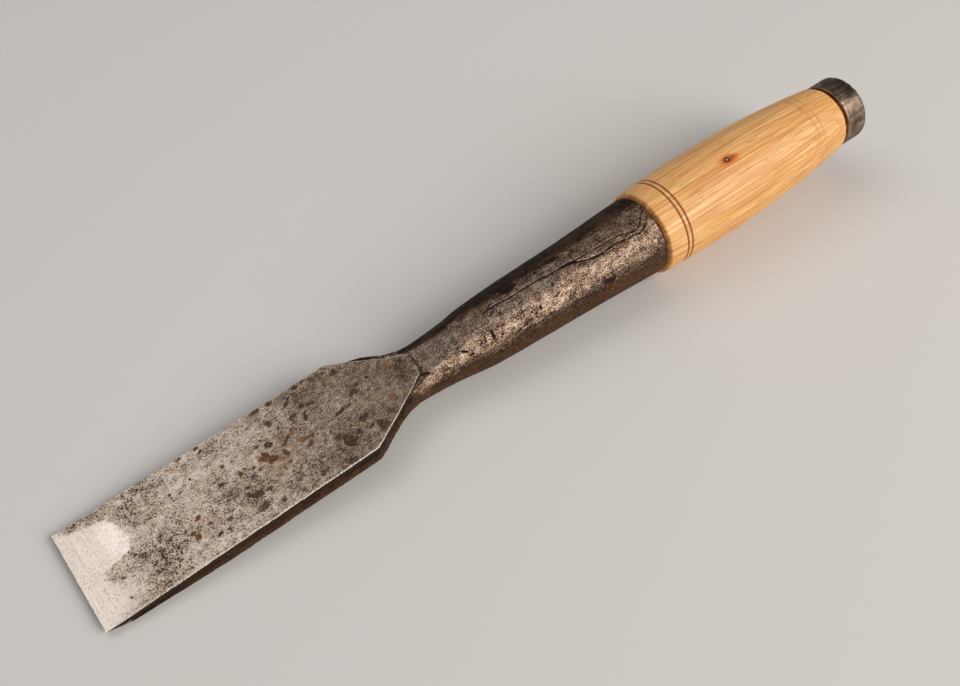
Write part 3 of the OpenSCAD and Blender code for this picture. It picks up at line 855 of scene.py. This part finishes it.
class Paint:
    """Builds one material's nodes, with a call for each kind of node."""

    def __init__(self, name):
        self.material = bpy.data.materials.new(name)
        self.material.use_nodes = True
        self.tree = self.material.node_tree
        self.shader = self.tree.nodes["Principled BSDF"]

    def put(self, node, key, value):
        socket = node.inputs[key]
        if isinstance(value, bpy.types.NodeSocket):
            self.tree.links.new(value, socket)
        elif isinstance(value, (tuple, list)) and len(value) == 3 and socket.type == "RGBA":
            socket.default_value = (*value, 1.0)
        else:
            socket.default_value = value

    def node(self, kind, inputs=(), **settings):
        node = self.tree.nodes.new("ShaderNode" + kind)
        for key, value in settings.items():
            setattr(node, key, value)
        for key, value in dict(inputs).items():
            self.put(node, key, value)
        return node

    def field(self, name):
        return self.node("Attribute", attribute_name=name).outputs["Fac"]

    def place(self, scale=(1, 1, 1), turn=(0, 0, 0), where=None):
        """The piece's own millimetre coordinates, or where, stretched by scale."""
        where = where or self.node("Attribute", attribute_name="place").outputs["Vector"]
        mapping = self.node("Mapping", {"Vector": where, "Scale": scale, "Rotation": turn})
        return mapping.outputs["Vector"]

    def noise(self, where, scale, detail=3.0, rough=0.55):
        inputs = {"Vector": where, "Scale": scale, "Detail": detail, "Roughness": rough}
        return self.node("TexNoise", inputs).outputs["Fac"]

    def cells(self, where, scale):
        """Distance to the nearest of many scattered points."""
        return self.node("TexVoronoi", {"Vector": where, "Scale": scale}, feature="F1").outputs["Distance"]

    def math(self, operation, a, b=0.0, clamp=False):
        node = self.node("Math", {0: a, 1: b}, operation=operation, use_clamp=clamp)
        return node.outputs[0]

    def add(self, *values):
        total = values[0]
        for value in values[1:]:
            total = self.math("ADD", total, value)
        return total

    def most(self, *values):
        """The largest of the values."""
        total = values[0]
        for value in values[1:]:
            total = self.math("MAXIMUM", total, value)
        return total

    def times(self, a, b):
        return self.math("MULTIPLY", a, b)

    def scaled(self, noise, amount):
        """Noise brought round zero and scaled."""
        return self.times(self.math("SUBTRACT", noise, 0.5), amount)

    def ramp(self, value, stops):
        """A colour ramp through stops of (position, eye colour)."""
        node = self.node("ValToRGB", {"Fac": value})
        while len(node.color_ramp.elements) < len(stops):
            node.color_ramp.elements.new(0.5)
        for element, (place, colour) in zip(node.color_ramp.elements, stops):
            element.position = place
            element.color = (*srgb(*colour), 1.0)
        return node.outputs["Color"]

    def less(self, a):
        """One minus a."""
        return self.math("SUBTRACT", 1.0, a, True)

    def remap(self, value, low, high, to_low=0.0, to_high=1.0):
        inputs = {"Value": value, "From Min": low, "From Max": high, "To Min": to_low, "To Max": to_high}
        return self.node("MapRange", inputs, clamp=True, interpolation_type="SMOOTHSTEP").outputs["Result"]

    def mix(self, factor, a, b):
        node = self.node("Mix", data_type="RGBA")
        self.put(node, 0, factor)
        self.put(node, 6, a)
        self.put(node, 7, b)
        return node.outputs[2]

    def tint(self, tone, mask, strength, colour):
        """Tone with colour laid over it, as deep as strength where mask is 1."""
        return self.mix(self.times(mask, strength), tone, colour)

    def between(self, value, low, high, start, end):
        """From one eye colour to another as value runs from low to high."""
        return self.mix(self.remap(value, low, high), srgb(*start), srgb(*end))

    def finish(self, colour, metallic, roughness, height, bump_mm=0.05, strength=0.6):
        """Links the shader. height is 0 to 1, standing bump_mm millimetres at 1."""
        self.put(self.shader, "Base Color", colour)
        self.put(self.shader, "Metallic", metallic)
        self.put(self.shader, "Roughness", roughness)
        bump_node = self.node("Bump", {"Height": height, "Distance": bump_mm * MM, "Strength": strength})
        self.put(self.shader, "Normal", bump_node.outputs["Normal"])
        return self.material


def srgb(red, green, blue):
    """A colour given as the eye sees it, from 0 to 255, as the linear values nodes need."""
    parts = (value / 255 for value in (red, green, blue))
    return tuple(v / 12.92 if v <= 0.04 else ((v + 0.055) / 1.055) ** 2.4 for v in parts)


def steel_material():
    p = Paint("laid_steel")
    lap, murk, clean = p.field("lap"), p.field("murk"), p.field("clean")
    where = p.place()
    grain = p.noise(where, 1.35, 4, 0.65)
    speck = p.noise(where, 2.7, 2, 0.6)
    mottle = p.noise(where, 0.34, 3, 0.6)
    drift = p.noise(where, 0.07, 3, 0.6)
    along = p.remap(p.node("SeparateXYZ", {"Vector": where}).outputs["X"], 45, 140)
    # How light the steel is: fine mottling over soft clouds, darker towards the shoulder, partly patina and
    # partly painted reflection falloff
    light = p.add(
        0.71, p.scaled(grain, 2.3), p.scaled(speck, 0.8), p.scaled(mottle, 1.0), p.scaled(drift, 0.6),
        p.times(murk, -0.19), p.times(clean, 0.2), p.times(along, -0.27),
    )
    tone = p.ramp(light, (
        (0.0, (68, 52, 41)), (0.3, (110, 90, 74)), (0.55, (155, 136, 118)),
        (0.8, (188, 173, 158)), (1.0, (216, 206, 194)),
    ))
    hue = p.noise(where, 0.16, 3, 0.6)
    tone = p.tint(tone, p.remap(hue, 0.5, 0.68), 0.3, srgb(150, 120, 92))
    tone = p.tint(tone, p.remap(hue, 0.46, 0.34), 0.22, srgb(128, 124, 124))
    # Small dark pits, crowded in the murky clouds
    dots = p.cells(where, 1.0)
    dark = p.add(dots, p.times(murk, -0.22), p.times(clean, 0.05), p.scaled(mottle, 0.5))
    pepper = p.remap(dark, 0.28, 0.18)
    pepper = p.most(pepper, p.remap(p.field("pit"), 0.45, 1.0))
    tone = p.tint(tone, pepper, 0.82, srgb(50, 36, 27))
    # Lapped metal behind the edge, with fine scratches along it
    hair = p.noise(p.place((1.5, 0.05, 1), (0, 0, math.radians(6))), 1.0, 3, 0.7)
    bright = p.between(hair, 0.25, 0.75, (192, 178, 167), (211, 200, 192))
    bright = p.mix(p.remap(speck, 0.66, 0.76), bright, srgb(140, 124, 110))
    bright = p.tint(bright, clean, 0.7, srgb(226, 216, 209))
    tone = p.mix(lap, tone, bright)
    uneven = p.add(p.scaled(grain, 1.9), p.scaled(dots, -0.3))
    blotch = p.remap(p.add(p.field("blotch"), uneven), 0.2, 0.44)
    blotch_tone = p.between(grain, 0.35, 0.65, (36, 24, 18), (88, 65, 50))
    tone = p.tint(tone, blotch, 0.88, blotch_tone)
    haze = p.remap(p.add(p.field("rust"), p.times(uneven, 0.6)), 0.05, 0.6)
    tone = p.tint(tone, haze, 0.45, srgb(160, 108, 66))
    rusty = p.remap(p.add(p.field("rust"), uneven), 0.32, 0.58)
    rust_tone = p.between(grain, 0.35, 0.65, (50, 29, 19), (122, 78, 48))
    tone = p.tint(tone, rusty, 0.88, rust_tone)
    side = p.field("side")
    flank = p.between(grain, 0.35, 0.65, (30, 17, 9), (70, 45, 27))
    tone = p.mix(side, tone, flank)
    edge = p.times(p.field("arris"), p.remap(p.add(speck, p.times(murk, -0.1)), 0.34, 0.5))
    tone = p.mix(edge, tone, srgb(244, 238, 230))
    ground = p.mix(hair, srgb(150, 146, 140), srgb(200, 196, 190))
    tone = p.mix(p.field("bevel"), tone, ground)
    dull = p.most(blotch, rusty, p.times(pepper, 0.8), p.remap(light, 0.6, 0.2, 0.0, 0.7))
    dull = p.times(dull, p.less(p.most(lap, edge)))
    dull = p.most(dull, p.times(side, 0.9))
    metallic = p.remap(dull, 0, 1, 0.85, 0.3)
    rough = p.add(p.remap(dull, 0, 1, 0.46, 0.68), p.times(lap, -0.08), p.scaled(grain, 0.16))
    height = p.add(
        p.times(p.less(pepper), 0.6), p.times(grain, p.less(lap)), p.times(hair, p.times(lap, 0.3)),
    )
    p.put(p.shader, "Specular IOR Level", 0.2)
    return p.finish(tone, metallic, rough, height, 0.07, 0.8)


def iron_material():
    p = Paint("wrought_iron")
    rub, pit, crack = p.field("rub"), p.field("pit"), p.field("crack")
    where = p.place()
    grain = p.noise(where, 1.5, 3, 0.65)
    speck = p.noise(where, 3.0, 2, 0.6)
    mottle = p.noise(where, 0.3, 3, 0.6)
    cool, painted_highlight = p.field("cool"), p.field("painted_highlight")
    drift = p.noise(where, 0.07, 3, 0.6)
    streak = p.noise(p.place((0.15, 1.2, 1.2)), 0.6, 2, 0.6)
    uneven = p.add(p.scaled(speck, 1.8), p.scaled(grain, 1.8), p.scaled(mottle, 1.0), p.scaled(drift, 0.4))
    # The facing mask paints the upper and right-hand sides lighter and the upper-left side dark: painted
    # shade, with some rubbed wear
    uneven = p.times(uneven, p.remap(rub, 0, 1, 0.5, 1.0))
    light = p.add(0.1, p.times(rub, 0.38), uneven, p.scaled(streak, 0.7), p.times(pit, -0.12))
    # A painted highlight lifts the colour along the band where the key light's reflection falls
    light = p.add(light, p.times(painted_highlight, 0.2), p.times(cool, 0.02))
    dash = p.remap(p.add(p.field("dash"), p.scaled(speck, 0.8)), 0.25, 0.9, 0.0, 0.8)
    hole = p.most(p.remap(crack, 0.12, 0.55), dash)
    light = p.times(light, p.less(hole))
    tone = p.ramp(light, (
        (0.0, (24, 14, 8)), (0.22, (44, 29, 20)), (0.45, (90, 68, 53)),
        (0.7, (156, 130, 110)), (1.0, (212, 188, 166)),
    ))
    cool_tone = p.between(light, 0.1, 0.9, (46, 36, 32), (172, 158, 150))
    tone = p.tint(tone, cool, 0.5, cool_tone)
    tone = p.tint(tone, p.remap(drift, 0.5, 0.62), 0.3, srgb(92, 62, 42))
    # Below the bright parts the scale is warmer, with rust in it
    low = p.remap(p.node("SeparateXYZ", {"Vector": where}).outputs["Z"], -2.5, -8.0)
    low_tone = p.between(grain, 0.35, 0.65, (40, 24, 13), (132, 92, 58))
    tone = p.tint(tone, p.times(low, p.less(rub)), 0.5, low_tone)
    tone = p.mix(p.remap(crack, 0.25, 0.8), tone, srgb(18, 13, 10))
    bare = p.mix(p.noise(p.place((2.4, 0.08, 1)), 1.0), srgb(140, 134, 128), srgb(186, 180, 172))
    tone = p.mix(p.field("bevel"), tone, bare)
    bore = p.field("bore")
    tone = p.mix(bore, tone, p.mix(grain, srgb(46, 30, 20), srgb(92, 60, 38)))
    shine = p.times(p.remap(light, 0.2, 0.75), p.less(bore))
    shine = p.most(shine, p.field("bevel"))
    metallic = p.remap(shine, 0, 1, 0.15, 0.85)
    rough = p.add(p.remap(shine, 0, 1, 0.7, 0.42), p.scaled(speck, 0.15))
    height = p.add(p.times(grain, 0.5), p.times(speck, 0.8), p.times(p.less(hole), 0.3))
    p.put(p.shader, "Specular IOR Level", 0.15)
    return p.finish(tone, metallic, rough, height, 0.2, 0.9)


def wood_material():
    p = Paint("ash_wood")
    where = p.place()
    parts = p.node("SeparateXYZ", {"Vector": where})
    y, z = parts.outputs["Y"], parts.outputs["Z"]
    # The grain's fine lines keep to the turned surface, all at one distance from the axis
    radius = p.math("SQRT", p.add(p.times(y, y), p.times(z, z)))
    spread = p.math("DIVIDE", GRIP_R, p.most(radius, 1.0))
    turned = {"X": parts.outputs["X"], "Y": p.times(y, spread), "Z": p.times(z, spread)}
    turned = p.node("CombineXYZ", turned).outputs["Vector"]
    # Growth rings: nearly flat layers whose broad side looks out at 60 degrees from the top
    facing = math.radians(60)
    depth = p.add(p.times(z, math.cos(facing)), p.times(y, -math.sin(facing)))
    sway = p.scaled(p.noise(p.place((0.012, 0.05, 0.05)), 1.0, 2, 0.5), 1.2)
    ripple = p.scaled(p.noise(p.place((0.02, 0.4, 0.4)), 1.0, 2, 0.5), 0.3)
    rings = p.add(depth, sway, ripple, p.field("knot"))
    turn = p.math("FRACT", p.times(rings, 0.5))
    late = p.times(p.remap(turn, 0.35, 0.88), p.remap(turn, 1.0, 0.92))
    early = p.times(p.remap(turn, 0.0, 0.08), p.remap(turn, 0.55, 0.25))
    fibre = p.noise(p.place((0.012, 0.8, 0.8), where=turned), 1.0, 4, 0.7)
    fine = p.noise(p.place((0.03, 3.0, 3.0), where=turned), 1.0, 3, 0.65)
    line = p.remap(p.noise(p.place((0.007, 1.25, 1.25), where=turned), 1.0, 2, 0.5), 0.5, 0.6)
    thread = p.remap(p.noise(p.place((0.02, 1.7, 1.7), where=turned), 1.0, 1, 0.5), 0.56, 0.62)
    vessel = p.remap(p.noise(p.place((0.09, 3.4, 3.4), where=turned), 1.0, 2, 0.55), 0.56, 0.66)
    pore = p.times(vessel, p.add(p.times(early, 0.9), 0.22))
    base = p.between(fibre, 0.36, 0.64, (255, 208, 140), (236, 171, 95))
    base = p.tint(base, late, 0.36, srgb(194, 120, 52))
    base = p.tint(base, line, 0.26, srgb(192, 120, 54))
    base = p.tint(base, thread, 0.5, srgb(182, 100, 34))
    base = p.tint(base, p.remap(fine, 0.5, 0.68), 0.4, srgb(184, 114, 50))
    base = p.tint(base, pore, 0.6, srgb(126, 66, 24))
    warm = p.noise(p.place((0.02, 0.06, 0.06)), 1.0, 2, 0.5)
    base = p.tint(base, p.remap(warm, 0.5, 0.7), 0.35, srgb(226, 158, 88))
    knot = p.remap(p.add(p.field("knot"), p.scaled(fibre, 0.5)), 0.08, 0.5)
    knot_tone = p.between(p.field("knot"), 0.35, 0.8, (216, 116, 40), (156, 68, 24))
    base = p.tint(base, knot, 0.9, knot_tone)
    worn_tone = p.between(fibre, 0.4, 0.6, (158, 92, 42), (206, 142, 78))
    base = p.tint(base, p.field("worn"), 0.6, worn_tone)
    core = p.field("knot_core")
    base = p.mix(p.times(p.remap(core, 0.12, 0.42), p.remap(core, 0.9, 0.6)), base, srgb(70, 32, 16))
    base = p.tint(base, p.remap(core, 0.7, 0.95), 0.8, srgb(214, 168, 104))
    # Stain round the mouth and at the rear shoulder, and painted shade in the groove before the hoop
    stain_and_groove_shade = p.remap(p.add(p.field("stain_and_groove_shade"), p.scaled(fibre, 0.8)), 0.25, 0.95)
    ring_tone = p.between(p.noise(where, 1.1, 3, 0.7), 0.4, 0.6, (140, 64, 20), (214, 136, 66))
    base = p.tint(base, stain_and_groove_shade, 0.8, ring_tone)
    burn = p.remap(p.add(p.field("burn"), p.scaled(fine, 0.3)), 0.25, 0.85)
    base = p.tint(base, burn, 0.88, srgb(126, 62, 24))
    end_tone = p.mix(p.noise(where, 1.4, 3, 0.7), srgb(120, 84, 50), srgb(186, 142, 92))
    broken = p.remap(p.noise(where, 0.5, 3, 0.6), 0.4, 0.62)
    end_tone = p.tint(end_tone, p.times(late, broken), 0.7, srgb(84, 54, 30))
    base = p.mix(p.field("end"), base, end_tone)
    rough = p.add(p.remap(fibre, 0.2, 0.8, 0.44, 0.56), p.times(burn, 0.2), p.times(p.field("end"), 0.25))
    height = p.add(p.times(p.less(pore), 0.5), p.times(fibre, 0.3), p.times(late, 0.2), p.times(fine, -0.2))
    # The lines above turn into spokes on the struck face, which has its own texture
    end_height = p.noise(where, 1.2, 4, 0.7)
    height = p.add(p.times(height, p.less(p.field("end"))), p.times(end_height, p.field("end")))
    p.put(p.shader, "Coat Weight", 0.06)
    p.put(p.shader, "Coat Roughness", 0.35)
    return p.finish(base, 0.0, rough, height, 0.08, 0.8)


def hoop_material():
    p = Paint("hoop_steel")
    where = p.place()
    # Streaks and scratches run along the ring's width
    brushed = p.noise(p.place((0.1, 1.0, 1.0)), 1.0, 4, 0.6)
    cross = p.noise(p.place((2.6, 0.12, 0.12)), 1.0, 3, 0.65)
    drift = p.noise(where, 0.16, 3, 0.6)
    speck = p.noise(where, 1.8, 3, 0.7)
    # Painted shade: the ring is darker towards its left side (+Y), where less light falls
    painted_side_shade = p.remap(p.node("SeparateXYZ", {"Vector": where}).outputs["Y"], -10.0, 8.0)
    value = p.add(
        0.5, p.scaled(brushed, 0.8), p.scaled(cross, 0.5), p.scaled(drift, 1.3), p.times(painted_side_shade, -0.28),
    )
    tone = p.ramp(value, (
        (0.0, (42, 32, 26)), (0.35, (88, 74, 63)), (0.65, (140, 122, 106)), (1.0, (200, 180, 160)),
    ))
    dirt = p.most(p.remap(p.field("pit"), 0.3, 0.9), p.times(p.remap(speck, 0.6, 0.75), 0.6))
    tone = p.tint(tone, dirt, 0.7, srgb(52, 40, 32))
    tone = p.tint(tone, p.field("arris"), 0.5, srgb(170, 136, 100))
    tone = p.mix(p.field("inner"), tone, srgb(44, 30, 20))
    metallic = p.remap(dirt, 0, 1, 0.88, 0.4)
    metallic = p.times(metallic, p.less(p.times(p.field("inner"), 0.8)))
    rough = p.add(p.remap(brushed, 0.3, 0.7, 0.4, 0.54), p.times(dirt, 0.2))
    height = p.add(p.times(brushed, 0.8), p.times(cross, 0.3), p.times(p.less(dirt), 0.4))
    return p.finish(tone, metallic, rough, height, 0.06, 0.8)


# ---------------------------------------------------------------- stage, light and camera

def floor():
    mesh = bpy.data.meshes.new("floor")
    size = 8.0
    corners = [(-size, -size, 0), (size, -size, 0), (size, size, 0), (-size, size, 0)]
    mesh.from_pydata(corners, [], [(0, 1, 2, 3)])
    plane = bpy.data.objects.new("floor", mesh)
    bpy.context.scene.collection.objects.link(plane)
    p = Paint("floor")
    p.put(p.shader, "Base Color", srgb(216, 213, 210))
    p.put(p.shader, "Roughness", 0.9)
    p.put(p.shader, "Specular IOR Level", 0.2)
    mesh.materials.append(p.material)


def area_light(name, place, target, size, watts, colour=(1, 1, 1)):
    data = bpy.data.lights.new(name, "AREA")
    data.shape = "DISK"
    data.size = size
    data.energy = watts
    data.color = colour
    lamp = bpy.data.objects.new(name, data)
    bpy.context.scene.collection.objects.link(lamp)
    lamp.location = place
    away = lamp.location - type(lamp.location)(target)
    lamp.rotation_euler = away.to_track_quat("Z", "Y").to_euler()


def lights():
    middle = (0.0, 0.0, 0.02)
    area_light("key", (0.9, -1.875, 1.375), middle, 1.875, 56.0, (1.0, 0.965, 0.92))
    area_light("ceiling", (-0.66, 1.364, 2.2), middle, 2.1, 17.4, (1.0, 0.985, 0.965))
    world = bpy.data.worlds.new("studio")
    world.use_nodes = True
    world.node_tree.nodes["Background"].inputs["Color"].default_value = (0.82, 0.8, 0.8, 1)
    world.node_tree.nodes["Background"].inputs["Strength"].default_value = 0.3
    bpy.context.scene.world = world
    bpy.context.scene.view_settings.view_transform = "Standard"


def camera():
    data = bpy.data.cameras.new("camera")
    data.sensor_width = 36.0
    data.lens = 40.39
    data.clip_start = 0.01
    data.clip_end = 20.0
    eye = bpy.data.objects.new("camera", data)
    eye.location = (-0.20835, -0.25496, 0.36205)
    eye.rotation_euler = [math.radians(a) for a in (41.819, 0.718, -37.149)]
    bpy.context.scene.collection.objects.link(eye)
    bpy.context.scene.camera = eye


camera()
lights()
floor()
steel_piece(steel_material())
iron_piece(iron_material())
wood_piece(wood_material())
hoop_piece(hoop_material())
